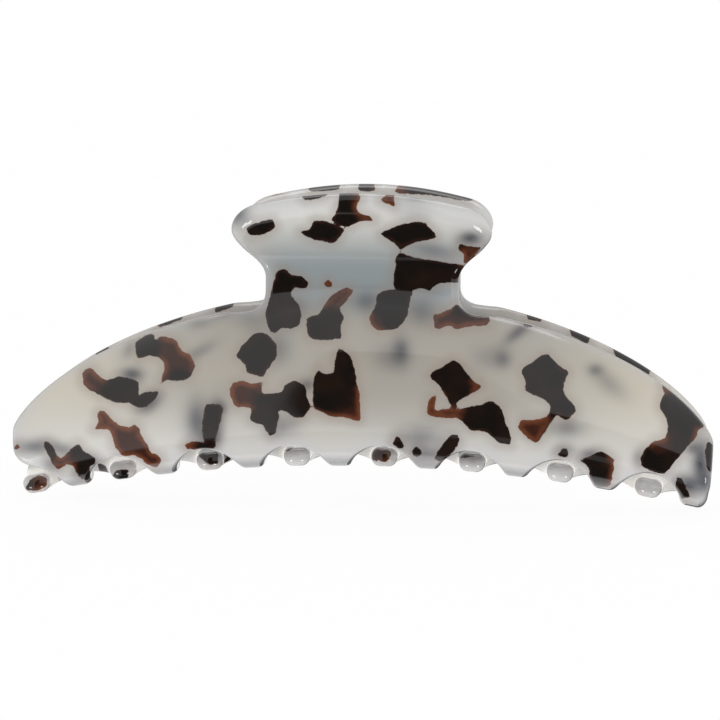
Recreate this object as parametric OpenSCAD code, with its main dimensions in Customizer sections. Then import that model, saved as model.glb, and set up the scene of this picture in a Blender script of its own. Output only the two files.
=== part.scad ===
// Claw clip for hair: two arched acetate jaws on a steel hinge pin, closed by a torsion spring.
// X runs along the width, Y from the front jaw to the rear jaw, Z up. The clip is closed here.
// Z = 0 is the level of the lowest tooth. The rear jaw is the front jaw turned half a turn, with
// shallower gaps between its teeth.

/* [Jaw] */
// Width of a jaw from end to end
jaw_w = 108.4; // [104:0.4:112]
// Thickness of the acetate sheet
sheet_t = 3.4; // [3:0.1:3.6]
// Height of the lowest point of the middle teeth over the lowest end tooth
tooth_line_rise = 5.7; // [4.5:0.1:6.5]
// Radius of the bulge in the middle, to the middle of the sheet
bulge_r = 13.2; // [12.8:0.1:13.6]
// How much smaller that radius is at the ends
bulge_taper = 6.9; // [6.6:0.1:7.4]
// Height of the outline at the ends
end_h = 12.2; // [11.8:0.1:12.6]
// Rise of the outline from its ends to the middle
wing_rise = 20.6; // [20.2:0.1:21]

/* [Teeth] */
// Width of a tooth at its tip
tooth_w = 4.3; // [3.8:0.1:4.8]
// How far a tip reaches past the middle plane
tooth_reach = 2; // [1:0.1:2.6]
// Height of the rounded gap between two teeth of the front jaw
gap_h = 3.6; // [3:0.1:4]
// The same height on the rear jaw, whose lip shows through the front gaps
rear_gap_h = 0.6; // [0.5:0.1:1]
// Share by which the inner half of the sheet thins toward the tips
tip_thin = 0.4; // [0:0.05:0.4]

/* [Thumb tab] */
// Width of the narrow waist
waist_w = 29.5; // [29:0.1:31]
// Width of the tab at its widest
tab_w = 39.4; // [38:0.1:42]
// Length of the tab along the sheet, over the waist
tab_l = 15.4; // [14:0.1:15.6]
// Angle by which the tab leans out
tab_lean = 36; // [33:1:38]
// Radius of the fillet where the waist meets the wings
waist_fillet = 2.3; // [1.8:0.1:2.6]

/* [Hinge] */
// Height of the hinge pin
hinge_z = 35.6; // [35.4:0.1:35.8]
// Distance from the pin to the middle of each sheet
hinge_gap = 6.3; // [6.2:0.1:6.5]
// Diameter of the steel pin
pin_d = 2; // [1.8:0.1:2.2]
// Clearance around the pin, on the radius
pin_clear = 0.06; // [0.04:0.01:0.1]
// Thickness of a lug
lug_t = 3.6; // [3:0.1:3.8]
// Radius of the eye of a lug
lug_r = 3.8; // [3.5:0.1:3.9]

/* [Spring] */
// Diameter of the spring wire
wire_d = 1.2; // [1:0.1:1.2]
// Mean radius of the coil
coil_r = 3; // [2.8:0.1:3.1]
// Number of full turns, over the half turn between the legs
coil_turns = 6; // [5:1:6]

/* [Hidden] */
$fn = 64;

// The outer face leans out at the ends, so the middle of the sheet stops short of the full width.
end_lean = 0.51;
half_w = jaw_w / 2 - end_lean;
half_waist = waist_w / 2;
half_t = sheet_t / 2;
teeth = 8;
teeth_across = 7.912;
pitch = jaw_w / teeth_across;
first_tooth = pitch * (0.25 - (teeth - 1) / 2);
half_tooth = tooth_w / 2;
half_gap = pitch / 2 - half_tooth;
tooth_round = 2.5;
thin_from = 3;
thin_l = 5;

// The tooth line falls toward the ends, as a parabola whose lowest point is the last tooth.
// The foot drop makes up for that tooth's lean, so that it ends at z = 0.
foot_drop = 0.078;
lobe_from = half_w - 4;
lobe_rise = 3.4;
corner_from = half_w - 1.6;
corner_rise = 3.6;
last_edge = first_tooth + (teeth - 1) * pitch + half_tooth;
line_drop = (tooth_line_rise + foot_drop) * pow(half_w / last_edge, 2);
// The last column of the grid stops this far inside the end.
end_cut = 0.15;
rim_h = 1.25;
wing_power = 0.74;

tab_bend_r = 8;
tab_corner = 6;
tab_top_sag = 2.6;
blend_w = 14;
blend_angle = 80;

low_rows = 5;
high_rows = 8;
rows = low_rows + high_rows;
low_turn = 60;
low_share = 0.25;
neck_rows = 5;
tab_rows = 10;
upper_rows = neck_rows + tab_rows;
step = 0.01;
same = 0.3;

lug_gap = 0.3;
lug_inner_x = 5.5;
lug_bite = 0.5;
lug_root_h = 3.5;
lug_back_y = 9;
cap_r = 2.1;
cap_t = 1.1;
cap_gap = 0.1;
cap_bite = 0.6;

coil_pitch = wire_d + 0.1;
turns_all = coil_turns + 0.5;
coil_w = turns_all * coil_pitch;
spring_segments = 12;
wire_sides = 8;
leg_steps = [2, 3.6, 5.2, 10];
leg_gap = 0.35;

acetate = [0.83, 0.81, 0.76];
steel = [0.72, 0.72, 0.74];

// ---- The middle surface of the front jaw ----

function smooth(u) = let (c = min(1, max(0, u))) c * c * (3 - 2 * c);

// Radius and lowest level of the bulge at x.
function bulge(x) = bulge_r - bulge_taper * pow(x / half_w, 2);
function low(x) = tooth_line_rise + half_t - line_drop * pow(x / half_w, 2);
function centre(x) = low(x) + bulge(x);

// Radius of the concave bend that leads from the bulge to the upright waist.
function bend_in(x) =
    let (r = bulge(x), rise = hinge_z - centre(x))
    (hinge_gap * hinge_gap + rise * rise - r * r) / (2 * (r - hinge_gap));
function bend_r(x) = bend_in(min(abs(x), half_waist));
// Angle at which the bulge turns into the bend.
function turn_in(x) = atan2(hinge_z - centre(x), hinge_gap + bend_in(x));
function turn(x) =
    let (a = abs(x), edge = turn_in(min(a, half_waist)))
    a <= half_waist ? edge : edge + (blend_angle - edge) * smooth((a - half_waist) / blend_w);

function arc(r, angle) = r * angle * PI / 180;
function angle_of(r, length) = length / r * 180 / PI;
function bulge_l(x) = arc(bulge(x), turn(x) + 90);
function waist_s(x) = bulge_l(x) + arc(bend_r(x), turn(x));

// Centre of the concave bend at x, as [y, z].
function bend_centre(x) =
    let (reach = bulge(x) + bend_r(x))
    [-reach * cos(turn(x)), centre(x) + reach * sin(turn(x))];

// Section at x, as [y, z], by the length s along the sheet from the lowest point of the bulge.
function section(x, s) =
    s < 0 ? [-s, low(x)]
    : s <= bulge_l(x) ?
        let (a = angle_of(bulge(x), s) - 90)
        [-bulge(x) * cos(a), centre(x) + bulge(x) * sin(a)]
    : s <= waist_s(x) ?
        let (a = angle_of(bend_r(x), s - bulge_l(x)) - turn(x))
        bend_centre(x) + bend_r(x) * [cos(a), sin(a)]
    : tab_section(s - waist_s(x));

function tab_section(v) =
    let (
        full = arc(tab_bend_r, tab_lean),
        a = angle_of(tab_bend_r, min(v, full)),
        straight = max(0, v - full)
    )
    [
        -hinge_gap - tab_bend_r * (1 - cos(a)) - straight * sin(tab_lean),
        hinge_z + tab_bend_r * sin(a) + straight * cos(tab_lean)
    ];

function mid(x, s) = let (p = section(x, s)) [x, p[0], p[1]];

// The point at distance side from the middle surface, square to it. Positive is outside.
function skin(x, s, side) =
    let (
        along = mid(x + step, s) - mid(x - step, s),
        up = mid(x, s + step) - mid(x, s - step),
        n = cross(along, up)
    )
    mid(x, s) + n * side / norm(n);

// ---- The outline of the front jaw ----

// Length along the sheet at which the section at x reaches the height z.
function s_at(x, z) =
    let (z_turn = centre(x) + bulge(x) * sin(turn(x)))
    z <= z_turn ? arc(bulge(x), 90 + asin(min(1, (z - centre(x)) / bulge(x))))
    : bulge_l(x)
        + arc(bend_r(x), turn(x) + asin(max(-1, min(0, (z - bend_centre(x)[1]) / bend_r(x)))));

function wing_top(x) = end_h - rim_h + wing_rise * pow(1 - pow(x / half_w, 2), wing_power);
function wing_s(x) = s_at(x, wing_top(x));

function tooth_offset(x) =
    let (k = min(teeth - 1, max(0, round((x - first_tooth) / pitch))))
    x - first_tooth - k * pitch;
// Rise of a gap of height h at x: an arc over the gap between two teeth.
function gap_rise(x, h) =
    let (
        d = max(0, pitch / 2 - abs(tooth_offset(x))),
        r = (half_gap * half_gap + h * h) / (2 * h)
    )
    max(0, h - r + sqrt(max(0, r * r - d * d)));
function end_rise(x) =
    x > corner_from ? corner_rise * (1 - sqrt(1 - pow((x - corner_from) / (half_w - corner_from), 2)))
    : x < -lobe_from ? lobe_rise * (1 - sqrt(1 - pow((-x - lobe_from) / (half_w - lobe_from), 2)))
    : 0;
function bottom_s(x, h) =
    let (d = abs(tooth_offset(x)) / half_tooth)
    d < 1 ? -tooth_reach * pow(1 - pow(d, tooth_round), 1 / tooth_round)
    : let (rise = (x > corner_from ? 0 : gap_rise(x, h)) + end_rise(x))
        arc(bulge(x), 90 + asin(rise / bulge(x) - 1));

// Half the width of the neck at the length d over the wings.
function neck_half(d) =
    half_waist + waist_fillet - sqrt(waist_fillet * waist_fillet - pow(max(0, waist_fillet - d), 2));

// Half the width of the tab at the length v over the waist.
function tab_half(v) =
    let (swell_l = tab_l - tab_corner + 0.6, swell = tab_w / 2 - half_waist)
    v <= swell_l ? half_waist + swell * smooth(v / swell_l)
    : tab_w / 2 - tab_corner
        + tab_corner * sqrt(max(0, 1 - pow((v - swell_l) / tab_corner, 2)));

// ---- The grid of the sheet ----

function sorted(v) =
    len(v) < 2 ? v
    : let (p = v[floor(len(v) / 2)])
        concat(sorted([for (a = v) if (a < p) a]), [p], sorted([for (a = v) if (a > p) a]));

half_neck = half_waist + waist_fillet;
end_xs = [
    half_w - end_cut, half_w - 0.35, half_w - 0.7, half_w - 1.15,
    end_cut - half_w, 0.5 - half_w, 1.1 - half_w, 2 - half_w, 3 - half_w, 4.2 - half_w
];
tooth_steps = [0, 0.6, 0.9, 0.999];
gap_steps = [0.03, 0.16, 0.45];
offsets = concat(
    [for (a = tooth_steps) a * half_tooth],
    [for (a = gap_steps) half_tooth + a * half_gap],
    [pitch / 2]
);
fixed_xs = concat([-half_neck, half_neck], end_xs);
function clear_of(x, list) = min([for (a = list) abs(x - a)]) > same;
free_xs = [
    for (k = [-1:teeth - 1], a = offsets, side = [-1, 1])
        let (x = first_tooth + k * pitch + side * a)
        if (x > 4.2 - half_w && x < corner_from + 0.3 && clear_of(x, fixed_xs)) x
];
xs = sorted(concat(fixed_xs, free_xs));
cols = len(xs);
tab_cols = [for (i = [0:cols - 1]) if (abs(xs[i]) <= half_neck + step) i];
tab_a = tab_cols[0];
tab_n = len(tab_cols);

// Distance of the inner face from the middle surface, less near the tips.
function inner_side(s) = -half_t * (1 - tip_thin * smooth((thin_from - s) / thin_l));
function body_point(i, j, side, h) =
    let (
        x = xs[i],
        a = bottom_s(x, h),
        b = wing_s(x),
        m = max(arc(bulge(x), low_turn), a + low_share * (b - a)),
        s = j < low_rows ? a + (m - a) * j / low_rows : m + (b - m) * (j - low_rows) / high_rows
    )
    skin(x, s, side > 0 ? half_t : inner_side(s));
function neck_point(u, f, side) =
    let (x = u * neck_half(f * (waist_s(0) - wing_s(0))))
    skin(x, wing_s(x) + f * (waist_s(x) - wing_s(x)), side);
function tab_point(u, q, side) =
    let (x = u * tab_half(q * tab_l))
    skin(x, waist_s(x) + q * (tab_l - tab_top_sag * u * u), side);
// The grid over the wings: first the neck, then the tab, with the rows closer near its top.
function upper_point(i, k, side) =
    let (u = xs[i] / half_neck)
    k <= neck_rows ? neck_point(u, pow(k / neck_rows, 1.4), side)
    : tab_point(u, 1 - pow(1 - (k - neck_rows) / tab_rows, 1.5), side);

body_count = cols * (rows + 1);
tab_count = tab_n * upper_rows;
function body_id(i, j, inner) = inner * body_count + i * (rows + 1) + j;
function tab_id(i, k, inner) =
    k == 0 ? body_id(i, rows, inner)
    : 2 * body_count + inner * tab_count + (i - tab_a) * upper_rows + k - 1;

function sheet_points(h) = concat(
    [for (side = [1, -1], i = [0:cols - 1], j = [0:rows]) body_point(i, j, side, h)],
    [for (side = [1, -1], i = tab_cols, k = [1:upper_rows]) upper_point(i, k, side * half_t)]
);

function two(a, b, c, d) = [[a, b, c], [a, c, d]];
function is_tab(i) = i >= tab_a && i < tab_a + tab_n - 1;

body_faces = [
    for (i = [0:cols - 2], j = [0:rows - 1]) each concat(
        two(body_id(i, j, 0), body_id(i, j + 1, 0), body_id(i + 1, j + 1, 0), body_id(i + 1, j, 0)),
        two(body_id(i, j, 1), body_id(i + 1, j, 1), body_id(i + 1, j + 1, 1), body_id(i, j + 1, 1))
    )
];
body_rim = concat(
    [for (i = [0:cols - 2])
        each two(body_id(i, 0, 0), body_id(i + 1, 0, 0), body_id(i + 1, 0, 1), body_id(i, 0, 1))],
    [for (i = [0:cols - 2]) if (!is_tab(i)) each two(
        body_id(i + 1, rows, 0), body_id(i, rows, 0), body_id(i, rows, 1), body_id(i + 1, rows, 1))],
    [for (j = [0:rows - 1])
        each two(body_id(0, j + 1, 0), body_id(0, j, 0), body_id(0, j, 1), body_id(0, j + 1, 1))],
    [for (j = [0:rows - 1]) each two(
        body_id(cols - 1, j, 0), body_id(cols - 1, j + 1, 0),
        body_id(cols - 1, j + 1, 1), body_id(cols - 1, j, 1))]
);
tab_b = tab_a + tab_n - 1;
tab_faces = [
    for (i = [tab_a:tab_b - 1], k = [0:upper_rows - 1]) each concat(
        two(tab_id(i, k, 0), tab_id(i, k + 1, 0), tab_id(i + 1, k + 1, 0), tab_id(i + 1, k, 0)),
        two(tab_id(i, k, 1), tab_id(i + 1, k, 1), tab_id(i + 1, k + 1, 1), tab_id(i, k + 1, 1))
    )
];
tab_rim = concat(
    [for (i = [tab_a:tab_b - 1]) each two(
        tab_id(i + 1, upper_rows, 0), tab_id(i, upper_rows, 0),
        tab_id(i, upper_rows, 1), tab_id(i + 1, upper_rows, 1))],
    [for (k = [0:upper_rows - 1]) each two(
        tab_id(tab_a, k + 1, 0), tab_id(tab_a, k, 0), tab_id(tab_a, k, 1), tab_id(tab_a, k + 1, 1))],
    [for (k = [0:upper_rows - 1]) each two(
        tab_id(tab_b, k, 0), tab_id(tab_b, k + 1, 0), tab_id(tab_b, k + 1, 1), tab_id(tab_b, k, 1))]
);

// ---- Pieces ----

// A bent sheet with its teeth and tab, whose gaps between teeth have the height h.
module jaw(h) {
    polyhedron(sheet_points(h), concat(body_faces, body_rim, tab_faces, tab_rim));
}

// Turns a piece of the front jaw into the matching piece of the rear jaw.
module to_rear() {
    rotate([0, 0, 180]) children();
}

// A lug from x to x + lug_t, on the inner face of the front jaw.
module lug(x) {
    translate([x, 0, hinge_z])
        rotate([90, 0, 90])
            linear_extrude(lug_t)
                difference() {
                    union() {
                        circle(lug_r);
                        translate([-lug_back_y, -lug_root_h]) square([lug_back_y, 2 * lug_root_h]);
                    }
                    circle(pin_d / 2 + pin_clear);
                    translate([-hinge_gap - tab_bend_r, 0]) circle(tab_bend_r + half_t - lug_bite);
                    translate([-lug_back_y - tab_bend_r, -lug_r - 1])
                        square([tab_bend_r, 2 * lug_r + 2]);
                }
}

lug_outer_x = lug_inner_x + lug_t + lug_gap;
lug_end_x = lug_outer_x + lug_t;

module front_jaw() {
    color(acetate) jaw(gap_h);
}

module rear_jaw() {
    color(acetate) to_rear() jaw(rear_gap_h);
}

module front_lug_left() {
    color(acetate) lug(-lug_end_x);
}

module front_lug_right() {
    color(acetate) lug(lug_inner_x);
}

module rear_lug_left() {
    color(acetate) to_rear() lug(lug_inner_x);
}

module rear_lug_right() {
    color(acetate) to_rear() lug(-lug_end_x);
}

module hinge_pin() {
    length = 2 * (lug_end_x + cap_gap + cap_bite);
    color(steel)
        translate([-length / 2, 0, hinge_z])
            rotate([0, 90, 0])
                cylinder(d = pin_d, h = length);
}

// A round cap on the end of the pin, from x outward on the right side.
module cap() {
    translate([lug_end_x + cap_gap, 0, hinge_z])
        rotate([0, 90, 0])
            rotate_extrude()
                polygon([[0, 0], [cap_r, 0], [cap_r, cap_t * 0.6], [cap_r - 0.45, cap_t], [0, cap_t]]);
}

module pin_cap_left() {
    color(steel) mirror([1, 0, 0]) cap();
}

module pin_cap_right() {
    color(steel) cap();
}

// A short round bar between two points, as one link of the spring wire.
module link(a, b) {
    hull() {
        translate(a) sphere(d = wire_d, $fn = wire_sides);
        translate(b) sphere(d = wire_d, $fn = wire_sides);
    }
}

// The coil starts at the front, runs to the right, and ends at the rear.
function coil_point(turns) =
    let (a = 180 + turns * 360)
    [coil_w * (turns / turns_all - 0.5), coil_r * cos(a), hinge_z + coil_r * sin(a)];

// The leg at the left lies along the inner face of the front tab, v over the waist.
function leg_point(v) =
    let (a = min(tab_lean, angle_of(tab_bend_r, v)), off = half_t + leg_gap + wire_d / 2)
    let (p = tab_section(v) + off * [cos(a), sin(a)])
    [-coil_w / 2, p[0], p[1]];

module leg() {
    link(coil_point(0), leg_point(leg_steps[0]));
    for (i = [0:len(leg_steps) - 2])
        link(leg_point(leg_steps[i]), leg_point(leg_steps[i + 1]));
}

module torsion_spring() {
    color(steel) {
        for (i = [0:turns_all * spring_segments - 1])
            link(coil_point(i / spring_segments), coil_point((i + 1) / spring_segments));
        leg();
        to_rear() leg();
    }
}

front_jaw();
rear_jaw();
front_lug_left();
front_lug_right();
rear_lug_left();
rear_lug_right();
hinge_pin();
pin_cap_left();
pin_cap_right();
torsion_spring();
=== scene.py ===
"""Claw clip for hair: two glossy acetate jaws with dark chips, a steel pin and a torsion spring."""
import math

import bmesh
import bpy
import numpy as np
from mathutils import Matrix, Vector
from mathutils.geometry import delaunay_2d_cdt


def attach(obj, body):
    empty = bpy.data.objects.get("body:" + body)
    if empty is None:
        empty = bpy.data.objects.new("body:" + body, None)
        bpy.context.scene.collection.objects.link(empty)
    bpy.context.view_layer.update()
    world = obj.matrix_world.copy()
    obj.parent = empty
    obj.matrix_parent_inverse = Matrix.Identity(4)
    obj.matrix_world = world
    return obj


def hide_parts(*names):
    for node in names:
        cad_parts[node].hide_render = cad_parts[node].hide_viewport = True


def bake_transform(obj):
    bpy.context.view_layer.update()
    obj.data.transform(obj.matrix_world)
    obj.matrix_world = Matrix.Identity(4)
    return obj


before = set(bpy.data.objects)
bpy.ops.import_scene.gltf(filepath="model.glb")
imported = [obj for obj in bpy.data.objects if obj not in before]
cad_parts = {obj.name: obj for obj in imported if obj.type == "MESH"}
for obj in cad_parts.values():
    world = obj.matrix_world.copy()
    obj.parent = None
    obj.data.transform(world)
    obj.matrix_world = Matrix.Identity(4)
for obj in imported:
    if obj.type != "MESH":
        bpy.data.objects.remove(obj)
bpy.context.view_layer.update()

MM = 0.001

# ---- The driving dimensions of the CAD jaw, in millimetres ----

JAW_W = 108.4
SHEET_T = 3.4
TOOTH_LINE_RISE = 5.7
BULGE_R, BULGE_TAPER = 13.2, 6.9
END_H, RIM_H = 12.2, 1.25
WING_RISE, WING_POWER = 20.6, 0.74
TOOTH_W, TOOTH_REACH, TOOTH_ROUND = 4.3, 2.0, 2.5
TEETH = 8
TEETH_ACROSS = 7.912
GAP_H, REAR_GAP_H = 3.6, 0.6
TIP_THIN, THIN_FROM, THIN_L = 0.4, 3.0, 5.0
WAIST_W, WAIST_FILLET = 29.5, 2.3
TAB_W, TAB_L, TAB_CORNER, TAB_TOP_SAG = 39.4, 15.4, 6.0, 2.6
TAB_BEND_R = 8.0
TAB_LEAN = math.radians(36)
HINGE_Z, HINGE_GAP = 35.6, 6.3
BLEND_W, BLEND_ANGLE = 14.0, math.radians(80)
END_LEAN = 0.51
LOBE_RISE, LOBE_L = 3.4, 4.0
CORNER_RISE, CORNER_L = 3.6, 1.6
FOOT_DROP = 0.078

HALF_T = SHEET_T / 2
HALF_W = JAW_W / 2 - END_LEAN
HALF_WAIST = WAIST_W / 2
HALF_NECK = HALF_WAIST + WAIST_FILLET
PITCH = JAW_W / TEETH_ACROSS
FIRST_TOOTH = PITCH * (0.25 - (TEETH - 1) / 2)
HALF_TOOTH = TOOTH_W / 2
HALF_GAP = PITCH / 2 - HALF_TOOTH
LAST_EDGE = FIRST_TOOTH + (TEETH - 1) * PITCH + HALF_TOOTH
LINE_DROP = (TOOTH_LINE_RISE + FOOT_DROP) * (HALF_W / LAST_EDGE) ** 2

WIRE_D, COIL_R, COIL_TURNS = 1.2, 3.0, 6.5
COIL_W = COIL_TURNS * (WIRE_D + 0.1)
LEG_L, LEG_GAP = 10.0, 0.35

# ---- The view of the photograph, which also gives the plane that the chips are drawn in ----
# The view was fitted to the photograph together with the outline. Lengths are in millimetres.

AZIMUTH, ELEVATION, ROLL = math.radians(3.39), math.radians(6.98), math.radians(0.609)
DISTANCE = 400.0
TARGET = np.array([-0.58, 0.0, 22.23])
LENS, SENSOR = 128.6, 36.0
BACK = np.array([
    math.sin(AZIMUTH) * math.cos(ELEVATION),
    -math.cos(AZIMUTH) * math.cos(ELEVATION),
    math.sin(ELEVATION),
])
LEVEL = np.array([math.cos(AZIMUTH), math.sin(AZIMUTH), 0.0])
UPRIGHT = np.cross(BACK, LEVEL)
RIGHT = math.cos(ROLL) * LEVEL + math.sin(ROLL) * UPRIGHT
UP = math.cos(ROLL) * UPRIGHT - math.sin(ROLL) * LEVEL


def drawn(points):
    """Places in the drawing plane, in millimetres, of points in the row frame."""
    v = points - TARGET
    depth = DISTANCE - v @ BACK
    return np.stack([
        DISTANCE * (v @ RIGHT) / depth + TARGET[0],
        DISTANCE * (v @ UP) / depth + TARGET[2],
    ], axis=-1)


# ---- The middle surface of the front jaw: x across, s along the sheet, as in the CAD ----

def smooth(u):
    c = np.clip(u, 0, 1)
    return c * c * (3 - 2 * c)


def bulge(x):
    return BULGE_R - BULGE_TAPER * (x / HALF_W) ** 2


def lowest(x):
    return TOOTH_LINE_RISE + HALF_T - LINE_DROP * (x / HALF_W) ** 2


def centre(x):
    return lowest(x) + bulge(x)


def bend_in(x):
    rise = HINGE_Z - centre(x)
    return (HINGE_GAP ** 2 + rise ** 2 - bulge(x) ** 2) / (2 * (bulge(x) - HINGE_GAP))


def bend_r(x):
    return bend_in(np.minimum(abs(x), HALF_WAIST))


def turn(x):
    near = np.minimum(abs(x), HALF_WAIST)
    edge = np.arctan2(HINGE_Z - centre(near), HINGE_GAP + bend_in(near))
    return edge + (BLEND_ANGLE - edge) * smooth((abs(x) - HALF_WAIST) / BLEND_W)


def bulge_l(x):
    return bulge(x) * (turn(x) + math.pi / 2)


def waist_s(x):
    return bulge_l(x) + bend_r(x) * turn(x)


def tab_section(v):
    """Section of the tab, as (y, z), at the length v over the waist."""
    bent = np.minimum(v, TAB_BEND_R * TAB_LEAN) / TAB_BEND_R
    straight = np.maximum(0, v - TAB_BEND_R * TAB_LEAN)
    y = -HINGE_GAP - TAB_BEND_R * (1 - np.cos(bent)) - straight * math.sin(TAB_LEAN)
    z = HINGE_Z + TAB_BEND_R * np.sin(bent) + straight * math.cos(TAB_LEAN)
    return y, z


def mid(x, s):
    """Points of the middle surface."""
    r, c, t = bulge(x), centre(x), turn(x)
    end = bulge_l(x)
    angle = np.clip(s, 0, end) / r - math.pi / 2
    low_y = -r * np.cos(angle) + np.maximum(0, -s)
    low_z = c + r * np.sin(angle)
    bend = bend_r(x)
    back = (np.clip(s, end, waist_s(x)) - end) / bend - t
    bend_y = bend * np.cos(back) - (r + bend) * np.cos(t)
    bend_z = bend * np.sin(back) + c + (r + bend) * np.sin(t)
    tab_y, tab_z = tab_section(np.maximum(0, s - waist_s(x)))
    y = np.where(s <= end, low_y, np.where(s <= waist_s(x), bend_y, tab_y))
    z = np.where(s <= end, low_z, np.where(s <= waist_s(x), bend_z, tab_z))
    return np.stack([x, y, z], axis=-1)


def unit(v):
    return v / np.linalg.norm(v, axis=-1, keepdims=True)


STEP = 0.01


def axes(x, s):
    """Unit vectors of the sheet: along x, along s, and square to it toward the outside."""
    across = unit(mid(x + STEP, s) - mid(x - STEP, s))
    along = unit(mid(x, s + STEP) - mid(x, s - STEP))
    return across, along, unit(np.cross(across, along))


# ---- The flat outline of the jaw ----

def s_at(x, z):
    """Length along the sheet at which the section at x reaches the height z."""
    r, c, t = bulge(x), centre(x), turn(x)
    below = r * (math.pi / 2 + np.arcsin(np.clip((z - c) / r, -1, 1)))
    bend = bend_r(x)
    bend_z = c + (r + bend) * np.sin(t)
    above = bulge_l(x) + bend * (t + np.arcsin(np.clip((z - bend_z) / bend, -1, 0)))
    return np.where(z <= c + r * np.sin(t), below, above)


def wing_s(x):
    falls = np.maximum(0, 1 - (x / HALF_W) ** 2) ** WING_POWER
    return s_at(x, END_H - RIM_H + WING_RISE * falls)


def rounded_rise(past, length, rise):
    """Rise of an end corner: a quarter of an ellipse, past its start."""
    share = np.clip(past / length, 0, 1)
    return rise * (1 - np.sqrt(1 - share ** 2))


def bottom_s(x, gap_h):
    k = np.clip(np.round((x - FIRST_TOOTH) / PITCH), 0, TEETH - 1)
    offset = abs(x - FIRST_TOOTH - k * PITCH)
    share = np.minimum(offset / HALF_TOOTH, 1)
    tip = -TOOTH_REACH * (1 - share ** TOOTH_ROUND) ** (1 / TOOTH_ROUND)
    d = np.maximum(0, PITCH / 2 - offset)
    gap_r = (HALF_GAP ** 2 + gap_h ** 2) / (2 * gap_h)
    gap = np.maximum(0, gap_h - gap_r + np.sqrt(np.maximum(0, gap_r ** 2 - d * d)))
    gap = np.where(x > HALF_W - CORNER_L, 0, gap)
    rise = gap + rounded_rise(x - HALF_W + CORNER_L, CORNER_L, CORNER_RISE)
    rise = rise + rounded_rise(-x - HALF_W + LOBE_L, LOBE_L, LOBE_RISE)
    return np.where(share < 1, tip, s_at(x, lowest(x) + rise))


def neck_half(d):
    return HALF_NECK - np.sqrt(WAIST_FILLET ** 2 - np.maximum(0, WAIST_FILLET - d) ** 2)


# How far the quarter of an ellipse of the tab's corner runs past the tab's top, in millimetres.
CORNER_OVERLAP = 0.6


def tab_half(v):
    swell_l = TAB_L - TAB_CORNER + CORNER_OVERLAP
    swell = HALF_WAIST + (TAB_W / 2 - HALF_WAIST) * smooth(v / swell_l)
    past = np.clip((v - swell_l) / TAB_CORNER, 0, 1)
    corner = TAB_W / 2 - TAB_CORNER * (1 - np.sqrt(1 - past ** 2))
    return np.where(v <= swell_l, swell, corner)


def evenly(loop, spacing):
    """The closed loop with its points evenly spaced."""
    closed = np.vstack([loop, loop[:1]])
    length = np.r_[0, np.cumsum(np.linalg.norm(np.diff(closed, axis=0), axis=1))]
    at = np.linspace(0, length[-1], int(length[-1] / spacing), endpoint=False)
    return np.stack([np.interp(at, length, closed[:, k]) for k in (0, 1)], axis=1)


def blurred(loop, spacing, reach):
    """The loop with its corners rounded, by a weighted mean over the neighbours of each point."""
    count = int(3 * reach / spacing)
    shifts = range(-count, count + 1)
    weights = [math.exp(-0.5 * (k * spacing / reach) ** 2) for k in shifts]
    return sum(w * np.roll(loop, k, axis=0) for w, k in zip(weights, shifts)) / sum(weights)


# The outline is drawn finely, spaced evenly, and its corners are rounded a little, in millimetres.
LOOP_STEP = 0.3
LOOP_BLUR = 0.36


def outline(gap_h):
    """The outline of the flat sheet as a closed loop of (x, s), anticlockwise."""
    x = np.linspace(-HALF_W, HALF_W, 20001)
    bottom = np.stack([x, bottom_s(x, gap_h)], axis=1)
    x = HALF_W - (HALF_W - HALF_NECK) * np.linspace(0, 1, 3001) ** 2
    wing = np.stack([x, wing_s(x)], axis=1)
    f = np.linspace(0, 1, 401) ** 1.5
    x = neck_half(f * (waist_s(0.0) - wing_s(0.0)))
    neck = np.stack([x, wing_s(x) + f * (waist_s(x) - wing_s(x))], axis=1)
    q = 1 - (1 - np.linspace(0, 1, 801)) ** 1.5
    x = tab_half(q * TAB_L)
    side = np.stack([x, waist_s(x) + q * (TAB_L - TAB_TOP_SAG)], axis=1)
    u = np.linspace(1, 0, 400)
    x = u * tab_half(TAB_L)
    top = np.stack([x, waist_s(x) + TAB_L - TAB_TOP_SAG * u * u], axis=1)
    right = np.concatenate([wing, neck, side, top])
    left = right[::-1] * [-1, 1]
    loop = evenly(np.concatenate([bottom, right, left[1:]]), LOOP_STEP)
    return evenly(blurred(loop, LOOP_STEP, LOOP_BLUR), LOOP_STEP)


def crossings(points, loop):
    """True for each point inside the closed loop."""
    a, b = loop, np.roll(loop, -1, axis=0)
    px, py = points[:, :1], points[:, 1:]
    straddles = (a[:, 1] > py) != (b[:, 1] > py)
    slope = (b[:, 0] - a[:, 0]) / np.where(b[:, 1] == a[:, 1], 1, b[:, 1] - a[:, 1])
    return (straddles & (px < a[:, 0] + slope * (py - a[:, 1]))).sum(axis=1) % 2 == 1


BATCHES = 24


def distance_to(points, loop):
    """Distance from each point to the closed loop of straight edges."""
    edge = np.roll(loop, -1, axis=0) - loop
    away = points[:, None] - loop[None]
    t = np.clip((away * edge).sum(-1) / (edge * edge).sum(-1), 0, 1)
    return np.linalg.norm(away - t[..., None] * edge, axis=-1).min(axis=1)


def far_from(points, loop):
    """That distance for many points, in batches that fit in memory."""
    return np.concatenate([distance_to(part, loop) for part in np.array_split(points, BATCHES)])


# ---- The chips ----
# Each chip is an outline in the drawing plane, in millimetres: x to the right, z up. They were read off one
# by one.

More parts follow.
